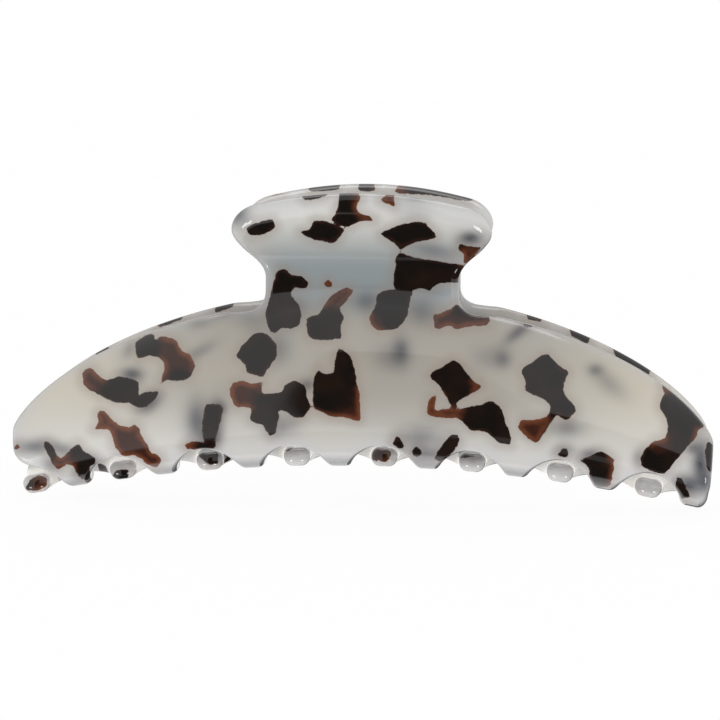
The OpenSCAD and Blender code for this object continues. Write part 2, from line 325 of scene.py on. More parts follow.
FRONT_CHIPS = [
    # The left wing.
    [(-35.6, 25.1), (-33.8, 26.1), (-32.6, 26.4), (-32.4, 25.4), (-31.5, 26.0), (-29.1, 25.4),
     (-28.3, 23.7), (-27.0, 23.1), (-26.1, 21.4), (-27.0, 19.5), (-28.5, 18.9), (-30.8, 19.1),
     (-31.9, 18.3), (-31.1, 20.3), (-31.0, 21.8), (-31.9, 22.6), (-33.2, 22.9), (-35.3, 22.3)],
    [(-43.9, 20.3), (-42.3, 21.2), (-41.5, 20.1), (-40.1, 19.0), (-38.0, 19.8), (-36.3, 19.4),
     (-34.9, 18.7), (-35.0, 16.4), (-34.1, 17.2), (-31.7, 17.5), (-32.3, 16.2), (-33.9, 14.9),
     (-35.1, 14.7), (-36.4, 15.5), (-38.6, 15.6), (-41.5, 16.9), (-43.6, 18.3)],
    [(-41.5, 14.1), (-40.6, 14.5), (-38.8, 12.7), (-37.8, 12.0), (-36.3, 11.8), (-35.7, 12.3),
     (-34.8, 11.6), (-34.7, 10.6), (-33.6, 9.0), (-33.1, 7.8), (-31.8, 7.4), (-31.4, 6.5),
     (-32.2, 5.4), (-33.6, 5.9), (-34.6, 6.9), (-35.9, 7.4), (-37.4, 7.2), (-38.7, 8.6),
     (-39.2, 10.4), (-39.7, 11.5), (-42.2, 11.4), (-41.2, 12.6)],
    [(-50.0, 9.3), (-49.2, 9.7), (-48.2, 8.6), (-47.6, 7.1), (-46.8, 7.1), (-45.3, 8.8),
     (-44.3, 9.3), (-43.6, 8.1), (-41.5, 6.9), (-41.8, 6.1), (-42.7, 5.5), (-42.4, 4.2),
     (-42.9, 3.4), (-44.3, 3.9), (-45.1, 5.6), (-45.9, 6.1), (-47.4, 5.2), (-48.2, 5.7)],
    [(-54.5, 8.4), (-53.9, 9.3), (-53.4, 8.6), (-53.9, 8.2)],
    [(-24.4, 15.5), (-21.7, 15.2), (-22.3, 12.6), (-23.1, 9.6), (-25.0, 9.6), (-25.2, 12.0), (-24.9, 14.2)],
    [(-28.1, 8.9), (-26.6, 9.6), (-25.0, 9.4), (-23.0, 10.0), (-23.0, 8.5), (-25.2, 8.2), (-27.2, 8.3)],
    # The middle, left of the centre line.
    [(-13.6, 36.1), (-12.2, 36.4), (-11.2, 35.5), (-9.7, 35.3), (-8.5, 34.2), (-9.0, 33.2),
     (-10.7, 33.6), (-11.5, 32.5), (-10.3, 31.2), (-9.6, 29.5), (-10.0, 27.5), (-11.2, 27.0),
     (-12.8, 27.2), (-13.9, 26.3), (-14.7, 26.8), (-15.4, 29.5), (-14.6, 32.0), (-14.3, 33.4)],
    [(-19.9, 22.8), (-19.1, 24.4), (-17.2, 26.2), (-16.0, 26.6), (-14.7, 26.1), (-13.6, 24.8),
     (-13.4, 22.8), (-14.5, 21.4), (-15.7, 19.5), (-18.3, 20.2), (-18.4, 21.5)],
    [(-20.9, 17.5), (-20.4, 18.6), (-19.0, 19.1), (-17.0, 18.5), (-15.6, 19.0), (-16.0, 17.0),
     (-13.7, 17.0), (-12.6, 17.3), (-12.3, 18.4), (-10.8, 19.1), (-9.0, 18.2), (-8.7, 16.0),
     (-8.1, 14.8), (-9.4, 13.3), (-10.6, 13.1), (-11.9, 14.1), (-13.2, 14.4), (-13.2, 12.8),
     (-13.7, 10.9), (-14.5, 10.4), (-15.2, 11.2), (-15.6, 12.1), (-17.8, 12.8), (-17.3, 14.8),
     (-20.1, 14.9), (-20.6, 16.2)],
    [(-4.6, 21.9), (-4.0, 24.2), (-3.1, 23.8), (-2.0, 22.9), (-1.3, 20.4), (-1.1, 18.6),
     (-0.6, 17.0), (-0.5, 12.7), (-1.4, 12.8), (-3.0, 13.3), (-4.8, 13.4), (-6.4, 14.0),
     (-8.0, 14.8), (-7.8, 19.6), (-7.1, 20.9), (-6.2, 20.0), (-4.6, 20.2)],
    [(-2.5, 33.6), (-1.5, 33.1), (-2.4, 31.7), (-3.9, 30.2), (-3.0, 28.8), (-3.6, 27.6),
     (-3.4, 25.6), (-4.5, 25.4), (-7.7, 25.3), (-8.8, 26.1), (-9.0, 28.9), (-7.1, 29.2),
     (-5.6, 31.7), (-4.2, 32.9)],
    [(-6.3, 34.1), (-5.7, 34.8), (-4.9, 34.3), (-4.9, 33.5), (-5.8, 33.5)],
    # The tab.
    [(-18.4, 42.6), (-17.4, 43.3), (-15.6, 43.9), (-14.1, 44.2), (-13.7, 42.8), (-15.1, 41.9),
     (-17.6, 41.5)],
    [(-10.2, 48.4), (-5.1, 48.6), (-5.9, 47.7), (-7.8, 47.1), (-9.2, 47.1)],
    [(-3.7, 48.8), (-1.1, 48.8), (-0.4, 47.4), (-1.2, 46.0), (-1.0, 45.3), (1.4, 44.4),
     (1.9, 43.7), (0.0, 43.9), (-1.4, 43.4), (-2.4, 42.8), (-4.2, 43.3), (-5.1, 43.9),
     (-4.3, 45.3), (-3.9, 46.9)],
    [(-10.1, 42.1), (-8.3, 42.6), (-7.9, 43.9), (-6.2, 44.0), (-4.6, 43.4), (-2.9, 42.6),
     (-3.7, 41.3), (-4.7, 40.3), (-8.1, 41.0)],
    [(2.5, 47.1), (3.5, 48.0), (4.7, 48.2), (4.8, 46.0), (3.6, 46.5)],
    [(2.3, 41.8), (4.4, 42.8), (5.9, 43.3), (7.5, 43.7), (9.3, 43.8), (10.5, 42.7), (11.6, 41.2),
     (8.0, 40.5), (6.7, 40.0), (5.7, 39.2), (4.6, 40.5)],
    [(4.9, 38.2), (5.6, 39.0), (7.7, 38.2), (11.1, 37.7), (16.4, 36.9), (16.0, 35.0), (14.4, 34.1),
     (12.7, 34.3), (11.1, 33.9), (10.3, 32.9), (9.0, 33.4), (7.7, 33.0), (4.8, 33.1),
     (4.5, 34.7), (5.0, 36.8)],
    [(14.7, 40.4), (16.8, 39.9), (18.4, 39.8), (17.0, 38.0), (15.6, 37.1), (15.5, 38.9), (14.7, 39.3)],
    # The middle, right of the centre line.
    [(2.0, 32.4), (2.8, 33.0), (5.0, 33.3), (7.7, 33.1), (7.2, 31.3), (6.8, 29.2), (6.2, 28.0),
     (5.0, 27.0), (1.9, 26.8), (0.9, 28.0), (0.9, 29.2), (1.8, 30.5)],
    [(10.8, 29.3), (11.9, 29.5), (13.5, 30.2), (14.6, 31.0), (15.4, 30.2), (17.0, 29.6), (19.2, 29.4),
     (19.8, 28.4), (19.1, 27.5), (16.6, 27.5), (14.3, 26.9), (13.3, 27.6), (11.6, 26.9), (11.0, 27.3)],
    [(25.0, 28.2), (26.9, 27.9), (25.9, 27.3), (24.8, 27.2)],
    [(10.1, 19.7), (11.0, 20.6), (12.7, 21.4), (13.9, 22.5), (15.4, 21.2), (16.9, 18.9), (18.3, 18.4),
     (18.1, 17.7), (16.2, 16.7), (14.4, 15.7), (14.7, 14.4), (13.6, 14.6), (13.5, 15.4), (11.6, 18.4)],
    [(9.8, 13.7), (9.9, 15.5), (10.5, 16.6), (11.5, 16.8), (11.0, 15.3), (11.2, 14.4), (13.1, 14.7),
     (14.7, 14.5), (16.6, 15.1), (18.2, 15.2), (19.6, 16.0), (21.4, 14.9), (21.8, 13.4), (22.9, 10.6),
     (23.0, 9.0), (20.9, 9.3), (19.2, 10.9), (18.0, 11.3), (16.6, 11.1), (15.2, 12.8),
     (14.3, 13.2), (11.9, 13.2)],
    [(24.4, 20.8), (26.1, 21.8), (27.4, 22.9), (28.7, 23.2), (30.4, 21.4), (32.0, 20.3), (31.2, 18.8),
     (31.0, 17.0), (33.4, 14.6), (31.5, 12.7), (30.1, 13.8), (29.3, 12.8), (27.1, 9.3), (26.0, 9.6),
     (23.9, 11.6), (24.5, 13.0), (27.1, 12.9), (28.5, 13.5), (29.1, 14.8), (28.6, 15.8),
     (25.0, 17.4), (25.1, 18.9)],
    # The right wing.
    [(46.3, 18.5), (48.2, 17.6), (51.2, 15.4), (53.4, 12.9), (52.9, 11.9), (51.9, 11.2), (51.8, 10.2),
     (50.9, 9.3), (50.3, 8.6), (49.3, 7.5), (47.8, 5.7), (46.9, 4.4), (45.6, 4.6), (43.1, 5.7), (43.0, 7.1),
     (43.7, 8.4), (45.2, 9.7), (46.9, 10.0), (47.3, 11.9), (46.9, 13.5), (46.0, 14.9),
     (46.2, 16.3), (46.8, 16.9)],
    [(53.4, 9.6), (54.4, 9.2), (54.7, 6.8), (54.0, 4.4), (53.3, 5.4), (53.0, 8.0)],
    [(36.7, 8.1), (37.9, 7.6), (38.9, 6.9), (38.9, 5.3), (38.4, 2.6), (36.3, 2.2), (35.1, 3.6),
     (35.0, 5.4), (33.3, 6.9), (35.2, 7.2)],
    [(29.9, 7.3), (30.9, 8.6), (31.8, 8.4), (31.8, 7.0)],
    [(48.5, 4.0), (49.4, 4.0), (50.2, 2.3), (50.9, 0.9), (49.2, 0.6), (47.9, 1.3), (48.6, 2.8)],
    # Small chips along the tooth line.
    [(4.4, 9.2), (5.2, 10.7), (6.1, 9.4), (6.4, 8.4), (5.4, 8.4)],
    [(7.4, 8.3), (8.3, 8.8), (9.2, 8.0), (8.4, 7.0), (7.6, 7.4)],
    [(12.6, 9.6), (13.6, 10.7), (14.8, 10.6), (14.9, 9.6), (14.2, 8.2), (13.0, 7.0), (11.6, 6.4),
     (10.9, 7.0), (11.6, 8.2)],
]

# Where the chips turn brown instead of black.
FRONT_BROWN = [
    [(-31.8, 26.5), (-28.0, 26.0), (-25.5, 23.0), (-26.5, 20.6), (-29.0, 21.0), (-31.0, 19.5),
     (-32.2, 17.8), (-31.4, 22.0)],
    [(-44.5, 20.5), (-42.0, 21.5), (-40.0, 19.5), (-41.0, 17.5), (-43.5, 17.5)],
    [(-43.4, 10.6), (-41.5, 15.5), (-36.0, 13.2), (-33.5, 10.0), (-30.5, 6.5), (-32.5, 4.6), (-38.8, 6.4)],
    [(-47.8, 7.4), (-46.0, 7.6), (-44.8, 6.2), (-44.9, 3.8), (-46.0, 4.6), (-48.2, 5.0)],
    [(-55.0, 8.0), (-54.0, 9.8), (-53.0, 8.0)],
    [(-28.6, 8.0), (-28.4, 10.0), (-26.2, 10.0), (-26.4, 8.0)],
    [(-21.5, 17.5), (-20.0, 19.6), (-16.0, 19.6), (-16.0, 17.8), (-17.4, 16.4), (-17.4, 14.6),
     (-21.0, 14.4)],
    [(-8.5, 14.8), (-4.8, 13.9), (-1.7, 14.4), (-1.2, 18.0), (0.2, 18.0), (0.2, 12.0), (-5.0, 12.6)],
    [(-7.0, 30.6), (-2.4, 34.0), (-0.8, 33.2), (-4.2, 30.2)],
    [(-6.8, 34.1), (-5.5, 35.4), (-4.4, 34.1), (-5.5, 33.0)],
    [(-1.9, 49.4), (0.2, 48.0), (-0.6, 45.4), (2.6, 44.4), (2.2, 43.2), (-0.6, 43.8), (-1.9, 46.0)],
    [(2.0, 47.1), (4.0, 49.0), (5.4, 47.0), (4.4, 45.4)],
    [(14.6, 39.6), (18.8, 39.6), (15.4, 36.6)],
    [(10.9, 30.0), (14.0, 30.6), (13.0, 28.8), (20.0, 28.9), (19.6, 27.0), (11.0, 26.5)],
    [(0.6, 29.6), (2.4, 28.6), (3.0, 26.4), (1.0, 26.6)],
    [(9.4, 13.0), (9.4, 17.2), (12.0, 17.2), (12.6, 14.8), (15.6, 14.4), (14.6, 12.8)],
    [(17.0, 19.2), (19.0, 18.4), (17.4, 17.0), (16.4, 17.6)],
    [(23.4, 11.6), (24.2, 13.6), (28.4, 13.9), (29.2, 12.6), (27.2, 8.8), (25.4, 9.4)],
    [(38.0, 8.0), (39.6, 7.0), (39.4, 4.8), (38.6, 2.0), (37.8, 2.4), (38.2, 5.6)],
    [(44.4, 9.0), (45.6, 10.6), (47.4, 10.2), (47.6, 8.4), (45.8, 7.6)],
    [(51.2, 11.8), (53.6, 12.0), (52.6, 9.2), (51.2, 9.6)],
    [(46.0, 18.9), (48.4, 17.8), (47.2, 16.8), (46.2, 17.2)],
]

# Chips deep in the sheet, which show as soft shadows: x, z, half length, half width, angle, strength.
FRONT_SHADES = [
    (-36.0, 20.0, 1.7, 1.1, 0, 0.9), (-33.4, 15.6, 2.2, 1.4, 35, 0.8), (-36.6, 23.8, 1.5, 1.0, 60, 0.4),
    (-51.2, 8.7, 2.4, 1.2, 0, 0.75), (-47.0, 8.4, 2.0, 1.0, -20, 0.6), (-48.6, 6.0, 1.4, 1.0, 0, 0.5),
    (-42.8, 6.6, 1.8, 1.0, -20, 0.6), (-23.3, 12.6, 3.4, 1.3, 80, 0.9), (-22.4, 14.8, 1.0, 0.9, 0, 0.8),
    (-23.8, 10.4, 1.6, 1.4, 0, 0.9), (-26.0, 12.8, 1.7, 3.3, 0, 0.8), (-25.4, 23.6, 2.6, 0.9, 30, 0.42),
    (-25.6, 27.9, 1.8, 0.8, 10, 0.35), (-17.4, 28.6, 2.8, 1.9, -20, 0.36),
    (-13.2, 24.0, 1.9, 2.4, 0, 0.42), (-12.6, 12.0, 2.6, 1.7, 10, 0.5), (-8.8, 18.4, 1.2, 0.9, 0, 0.6),
    (-11.0, 30.2, 2.4, 2.0, 0, 0.35), (0.4, 31.4, 1.8, 1.6, 0, 0.6), (9.0, 29.6, 2.0, 2.2, 0, 0.5),
    (5.8, 23.7, 1.3, 2.1, 0, 0.75), (4.3, 22.6, 2.6, 2.0, 0, 0.42), (21.6, 22.4, 1.3, 1.4, 0, 0.6),
    (19.6, 22.6, 2.8, 1.8, 0, 0.32), (24.0, 26.6, 2.5, 0.9, 40, 0.75), (36.1, 20.7, 1.2, 0.9, 0, 0.62),
    (38.0, 18.7, 3.3, 1.5, -40, 0.42), (31.6, 11.6, 2.6, 1.4, 0, 0.55), (35.2, 7.4, 1.7, 1.1, 0, 0.7),
    (16.6, 41.2, 1.9, 1.1, 0, 0.9), (-18.9, 44.2, 1.6, 1.3, 40, 0.45), (7.6, 45.0, 2.8, 1.8, 0, 0.2),
    (10.6, 39.4, 3.6, 1.1, -8, 0.5), (8.8, 10.2, 3.6, 2.0, 0, 0.55), (9.8, 7.4, 2.6, 1.3, 0, 0.6),
    (52.4, 6.4, 1.4, 3.4, 0, 0.95), (50.6, 2.8, 2.3, 1.5, 0, 0.9), (53.0, 3.4, 1.0, 1.7, 0, 0.75),
    (-19.8, 45.2, 2.1, 1.1, 55, 0.95), (51.3, 8.5, 1.3, 0.9, 0, 0.7), (8.4, 47.5, 2.2, 0.7, 0, 0.45),
    (-21.6, 29.6, 2.6, 1.0, 20, 0.4), (-43.9, 4.6, 1.6, 1.4, 0, 0.5), (4.8, 47.8, 2.6, 0.8, 0, 0.15),
    (42.8, 7.0, 1.0, 1.4, 0, 0.4), (31.0, 8.2, 1.8, 0.9, 0, 0.4),
]

# The rear jaw, as far as it shows beyond the front one.
REAR_CHIPS = [
    [(-52.8, 2.0), (-52.0, 3.6), (-50.6, 4.4), (-49.2, 3.8), (-49.3, 2.6), (-51.0, 1.8)],
    [(-48.4, 5.2), (-47.4, 4.4), (-46.8, 3.0), (-47.6, 3.8)],
    [(-41.6, 6.2), (-40.2, 6.0), (-39.6, 4.6), (-41.0, 4.6)],
    [(-39.6, 3.6), (-38.4, 5.2), (-36.4, 5.2), (-36.6, 3.8), (-38.0, 3.2)],
    [(-26.0, 7.6), (-25.0, 8.6), (-22.8, 8.4), (-22.6, 6.2), (-24.0, 5.8)],
    [(-21.8, 8.0), (-20.4, 7.0), (-21.8, 6.0)],
    [(1.0, 6.6), (1.6, 8.6), (3.6, 9.0), (4.3, 7.6), (3.6, 6.3)],
    [(14.6, 6.8), (14.8, 8.6), (18.6, 8.4), (18.0, 7.4)],
    [(-12.6, 8.0), (-11.8, 8.8), (-10.6, 8.8), (-11.8, 8.0)],
    [(41.4, 1.8), (41.8, 2.3), (43.4, 0.6), (42.8, 0.2)],
    [(-23.2, 29.5), (-20.2, 30.4), (-20.2, 31.6), (-23.0, 30.8)],
    [(-32.0, 27.2), (-28.0, 28.6), (-28.4, 29.4), (-32.2, 28.2)],
    [(-41.6, 22.6), (-39.4, 23.6), (-39.8, 24.4), (-41.8, 23.4)],
    [(21.2, 30.5), (22.0, 31.4), (23.8, 30.8), (23.2, 30.1)],
    [(25.2, 30.6), (25.3, 28.6), (27.8, 28.0), (27.6, 29.4)],
    [(31.9, 28.2), (32.0, 26.0), (34.9, 24.6), (35.4, 26.2)],
    [(38.6, 24.6), (39.2, 22.4), (44.2, 19.6), (44.8, 21.0)],
    [(-8.7, 48.4), (-3.8, 48.6), (-3.6, 50.2), (-8.2, 49.8)],
    [(-0.9, 48.4), (2.0, 48.4), (1.4, 50.2), (-0.7, 50.2)],
    [(4.5, 48.2), (11.0, 47.8), (16.6, 46.8), (17.4, 47.4), (14.0, 49.4), (5.8, 49.9)],
    [(-15.2, 47.8), (-12.6, 48.0), (-12.6, 48.8), (-14.8, 48.6)],
]
REAR_BROWN = [
    [(-51.4, 1.0), (-51.0, 5.0), (-48.6, 5.0), (-48.6, 2.0)],
    [(1.6, 48.0), (6.6, 48.0), (6.6, 50.0), (1.0, 50.4)],
    [(-16.0, 47.0), (-12.0, 47.4), (-12.0, 49.4), (-16.0, 49.0)],
    [(41.0, 2.4), (44.0, 0.8), (42.4, -0.4)],
]
REAR_SHADES = [
    (17.0, 7.4, 2.6, 1.2, 0, 0.6), (-23.0, 7.2, 1.6, 1.2, 0, 0.6), (43.6, 2.2, 2.4, 0.5, -10, 0.3),
]

# Depths are worked out within this distance of a chip's edge, in millimetres.
FAR = 2.0
# The scattered chips: the two seeds, for the chips and for which are brown or deep, their spacing, mean
# radius and corners, and how far each may leave its place on the grid.
CHIP_SEED, KIND_SEED = 11, 23
CHIP_SPREAD = 8.2
CHIP_SIZE = (1.4, 3.4)
CHIP_CORNERS = 8
CHIP_SHAKE = 0.38
# The deep chips fade out from their middle as a bell curve of this sharpness.
SHADE_FALL = 0.9


def softened(chip, rounds=2, share=0.15):
    """The outline with its corners cut, and cut again."""
    points = np.array(chip, float)
    for _ in range(rounds):
        after = np.roll(points, -1, axis=0)
        cut = [points + share * (after - points), points + (1 - share) * (after - points)]
        points = np.stack(cut, axis=1).reshape(-1, 2)
    return points


def depth_in(chips, at):
    """How deep each place lies inside the nearest chip, in millimetres, and less than 0 outside."""
    depth = np.full(len(at), -FAR)
    for chip in chips:
        loop = softened(chip)
        near = np.all((at > loop.min(axis=0) - FAR) & (at < loop.max(axis=0) + FAR), axis=1)
        places = at[near]
        inside = crossings(places, loop)
        signed = np.where(inside, 1, -1) * distance_to(places, loop)
        depth[near] = np.maximum(depth[near], signed)
    return np.clip(depth, -FAR, FAR)


def shade_at(shades, at):
    """Darkness of the deep chips at each place, from 0 to 1."""
    clear = np.ones(len(at))
    for x, z, half_l, half_w, angle, strength in shades:
        a = math.radians(angle)
        away = at - [x, z]
        along = (away[:, 0] * math.cos(a) + away[:, 1] * math.sin(a)) / half_l
        aside = (away[:, 1] * math.cos(a) - away[:, 0] * math.sin(a)) / half_w
        clear *= 1 - strength * np.exp(-SHADE_FALL * (along ** 2 + aside ** 2))
    return 1 - clear


def scattered(seed, low, high):
    """Random chips over a flat area, on a shaken grid."""
    rng = np.random.default_rng(seed)
    chips = []
    for x in np.arange(low[0], high[0], CHIP_SPREAD):
        for s in np.arange(low[1], high[1], CHIP_SPREAD * 0.8):
            spot = np.array([x, s]) + rng.uniform(-CHIP_SHAKE, CHIP_SHAKE, 2) * CHIP_SPREAD
            angles = np.sort(rng.uniform(0, 2 * math.pi, CHIP_CORNERS))
            size = rng.uniform(*CHIP_SIZE)
            ragged = rng.uniform(0.55, 1.25, CHIP_CORNERS)
            reach = size * ragged * (1 + 0.35 * np.cos(2 * (angles - rng.uniform(0, 3))))
            chips.append(spot + np.stack([reach * np.cos(angles), reach * np.sin(angles)], axis=1))
    return chips


# ---- The jaw as a closed sheet with a rounded rim ----

# The rim is half an ellipse, which reaches further in on the thumb tab. All are in millimetres.
RIM_REACH, TAB_RIM_REACH = 1.3, 2.4
# Over the waist, the longer reach starts here and is complete this much further up.
REACH_FROM, REACH_OVER = 4.0, 4.0
# The tab's own lean starts to count here, and counts in full this much further up.
LEAN_FROM, LEAN_OVER = 0.5, 3.0
RIM_STEPS = 8
# Spacing of the points inside the outline.
LATTICE = 0.52


def inward(loop):
    """Unit vectors square to the loop, toward the inside of an anticlockwise loop."""
    along = unit(np.roll(loop, -1, axis=0) - np.roll(loop, 1, axis=0))
    return np.stack([-along[:, 1], along[:, 0]], axis=1)


def tab_lean(x):
    """How much further up the sheet the waist lies at x than at the waist's edge."""
    return waist_s(x) - waist_s(HALF_WAIST)


def rings_in(loop, angles):
    """The rings of the rim, from the loop inward, and the way inward, both square to the edge in 3D."""
    x, s = loop.T
    over = s - waist_s(x)
    share = smooth((over - LEAN_FROM) / LEAN_OVER)
    reach = RIM_REACH + (TAB_RIM_REACH - RIM_REACH) * smooth((over - REACH_FROM) / REACH_OVER)
    level = np.stack([x, s - share * tab_lean(x)], axis=1)
    aim = inward(level)
    rings = []
    for angle in angles:
        ring = level + (reach * (1 - math.cos(angle)))[:, None] * aim
        ring[:, 1] += share * tab_lean(ring[:, 0])
        rings.append(ring)
    return rings, aim, reach


def filled(loop):
    """Triangles that fill the loop, whose points come first, with an even lattice inside."""
    low, high = loop.min(axis=0), loop.max(axis=0)
    rows = []
    for k, s in enumerate(np.arange(low[1], high[1], LATTICE * math.sqrt(3) / 2)):
        x = np.arange(low[0] + (k % 2) * LATTICE / 2, high[0], LATTICE)
        rows.append(np.stack([x, np.full_like(x, s)], axis=1))
    lattice = np.concatenate(rows)
    lattice = lattice[crossings(lattice, loop)]
    gap = far_from(lattice, loop)
    points = np.concatenate([loop, lattice[gap > 0.55 * LATTICE]])
    result = delaunay_2d_cdt([Vector(p) for p in points], [], [list(range(len(loop)))], 1, 1e-6)
    return np.array([p[:] for p in result[0]]), np.array(result[2])


class Sheet:
    """The points of a jaw with a rounded rim, as the front jaw stands, and the polygons between them."""

    def __init__(self, gap_h):
        self.loop = outline(gap_h)
        angles = np.linspace(math.pi / 2, -math.pi / 2, 2 * RIM_STEPS + 1)
        rings, aim, reach = rings_in(self.loop, angles)
        flat, faces = filled(rings[0])
        angles, rings = angles[1:-1], rings[1:-1]
        n, core = len(self.loop), len(flat)
        places = np.concatenate([flat, flat] + rings)
        counts = [core, core] + [n] * len(rings)
        side = np.repeat([HALF_T, -HALF_T] + [HALF_T * math.sin(a) for a in angles], counts)
        tilts = [np.arctan2(math.sin(a) * reach, math.cos(a) * HALF_T) for a in angles]
        lift = np.concatenate([np.ones(core), -np.ones(core)] + [np.sin(tilt) for tilt in tilts])
        out = np.concatenate([np.zeros((2 * core, 2))] + [-aim] * len(rings))

        x, s = places.T
        across, along, square = axes(x, s)
        thin = 1 - TIP_THIN * smooth((THIN_FROM - s) / THIN_L)
        side = np.where(side < 0, side * thin, side)
        edgeward = out[:, :1] * np.cross(along, square) + out[:, 1:] * along
        self.places = places
        self.points = mid(x, s) + side[:, None] * square
        self.normals = unit(np.sqrt(1 - lift ** 2)[:, None] * edgeward + lift[:, None] * square)
        self.edge = far_from(places, self.loop)

        starts = [0] + [2 * core + k * n for k in range(len(rings))] + [core]
        k = np.arange(n)
        after = (k + 1) % n
        bands = [np.stack([a + k, b + k, b + after, a + after], axis=1) for a, b in zip(starts, starts[1:])]
        self.polygons = faces.tolist() + (faces[:, ::-1] + core).tolist()
        self.polygons += np.concatenate(bands).tolist()


FRONT_WAY = np.array([1.0, 1.0, 1.0])
# The rear jaw is turned half a turn about Z.
REAR_WAY = np.array([-1.0, -1.0, 1.0])


def add_jaw(name, sheet, way, values, material, body, node):
    mesh = bpy.data.meshes.new(name)
    mesh.from_pydata((sheet.points * way * MM).tolist(), [], sheet.polygons)
    for value_name, value in values.items():
        layer = mesh.attributes.new(value_name, "FLOAT", "POINT")
        layer.data.foreach_set("value", value.astype(np.float32))
    mesh.shade_smooth()
    mesh.normals_split_custom_set_from_vertices((sheet.normals * way).tolist())
    mesh.materials.append(material)
    piece = bpy.data.objects.new(name, mesh)
    bpy.context.scene.collection.objects.link(piece)
    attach(piece, body)
    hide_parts(node)
    # The jaws are left out of every reflection, so that they show the studio and not each other.
    piece.visible_glossy = False


# The front teeth darken with painted shade from this share of the bulge's radius down, over the next share.
TIP_FROM, TIP_OVER = 0.74, 0.55


def build_front_jaw(material):
    sheet = Sheet(GAP_H)
    seen = drawn(sheet.points)
    values = {
        "lit": np.zeros(len(seen)),
        "tip": smooth((TIP_FROM - sheet.places[:, 1] / bulge(sheet.places[:, 0])) / TIP_OVER),
        "chip": depth_in(FRONT_CHIPS, seen),
        "brown": depth_in(FRONT_BROWN, seen),
        "shade": shade_at(FRONT_SHADES, seen),
        "edge": sheet.edge,
    }
    add_jaw("front_jaw_sheet", sheet, FRONT_WAY, values, material, "front", "front_jaw")


# The rear jaw has drawn chips near its edges, which show past the front jaw, and scattered ones elsewhere.
# The drawn ones have this band along the edge, and the lower part of the sheet up to this length along it.
DRAWN_BAND, DRAWN_LOW = 3.2, 6.0
# Light comes through the rear lip below this length along the sheet, and fades out over this much.
LIP_LIT, LIP_FADE = 3.8, 2.6
# It comes through the upper edge within this distance, fades over this much, and starts at this length.
EDGE_LIT, EDGE_FADE, EDGE_FROM = 2.8, 2.0, 8.0


def build_rear_jaw(material):
    sheet = Sheet(REAR_GAP_H)
    seen = drawn(sheet.points * REAR_WAY)
    low, high = sheet.loop.min(axis=0), sheet.loop.max(axis=0)
    chips = depth_in(scattered(CHIP_SEED, low, high), sheet.places)
    kinds = scattered(KIND_SEED, low, high)
    along = sheet.places[:, 1]
    band = (sheet.edge < DRAWN_BAND) | (along < DRAWN_LOW)
    chips = np.where(band, np.minimum(chips, (sheet.edge - DRAWN_BAND) * 0.6), chips)
    deep = smooth((depth_in(kinds[1::2], sheet.places) + 1.4) / 2.4)
    low_edge = smooth((LIP_LIT - along) / LIP_FADE) * (1 - 0.85 * smooth(0.2 - along))
    high_edge = smooth((EDGE_LIT - sheet.edge) / EDGE_FADE) * (along > EDGE_FROM)
    values = {
        "lit": np.maximum(low_edge, 0.1 * high_edge),
        "tip": np.zeros(len(seen)),
        "chip": np.maximum(depth_in(REAR_CHIPS, seen), chips),
        "brown": np.maximum(depth_in(REAR_BROWN, seen), depth_in(kinds[::2], sheet.places) - 0.4),
        "shade": np.maximum(shade_at(REAR_SHADES, seen), 0.7 * deep * ~band),
        "edge": sheet.edge,
    }
    add_jaw("rear_jaw_sheet", sheet, REAR_WAY, values, material, "rear", "rear_jaw")


# ---- Materials ----

class Nodes:
    """Short calls for the nodes of one tree."""

    def __init__(self, tree):
        self.tree = tree

    def add(self, kind, **settings):
        node = self.tree.nodes.new("ShaderNode" + kind)
        for key, value in settings.items():
            setattr(node, key, value)
        return node

    def put(self, socket, value):
        if isinstance(value, bpy.types.NodeSocket):
            self.tree.links.new(value, socket)
        elif isinstance(value, tuple) and len(value) == 3:
            socket.default_value = (*value, 1.0) if socket.type == "RGBA" else value
        else:
            socket.default_value = value

    def math(self, operation, *values):
        node = self.add("Math", operation=operation)
        for socket, value in zip(node.inputs, values):
            self.put(socket, value)
        return node.outputs[0]

    def step(self, value, low, high):
        """Smoothly from 0 at low to 1 at high."""
        node = self.add("MapRange", interpolation_type="SMOOTHSTEP")
        for key, given in (("Value", value), ("From Min", low), ("From Max", high)):
            self.put(node.inputs[key], given)
        return node.outputs["Result"]

    def mix(self, share, a, b):
        node = self.add("Mix", data_type="RGBA")
        for index, given in ((0, share), (6, a), (7, b)):
            self.put(node.inputs[index], given)
        return node.outputs[2]

    def noise(self, place, scale, detail=2.0):
        node = self.add("TexNoise")
        self.put(node.inputs["Vector"], place)
        node.inputs["Scale"].default_value = scale
        node.inputs["Detail"].default_value = detail
        return node.outputs["Fac"]

    def value(self, name):
        return self.add("Attribute", attribute_name=name).outputs["Fac"]

    def bump(self, height, strength, distance):
        node = self.add("Bump")
        node.inputs["Strength"].default_value = strength
        node.inputs["Distance"].default_value = distance
        self.put(node.inputs["Height"], height)
        return node.outputs["Normal"]


def new_material(name):
    material = bpy.data.materials.new(name)
    material.use_nodes = True
    shader = material.node_tree.nodes["Principled BSDF"]
    nodes = Nodes(material.node_tree)
    place = nodes.add("TexCoord").outputs["Object"]
    return material, nodes, shader, place
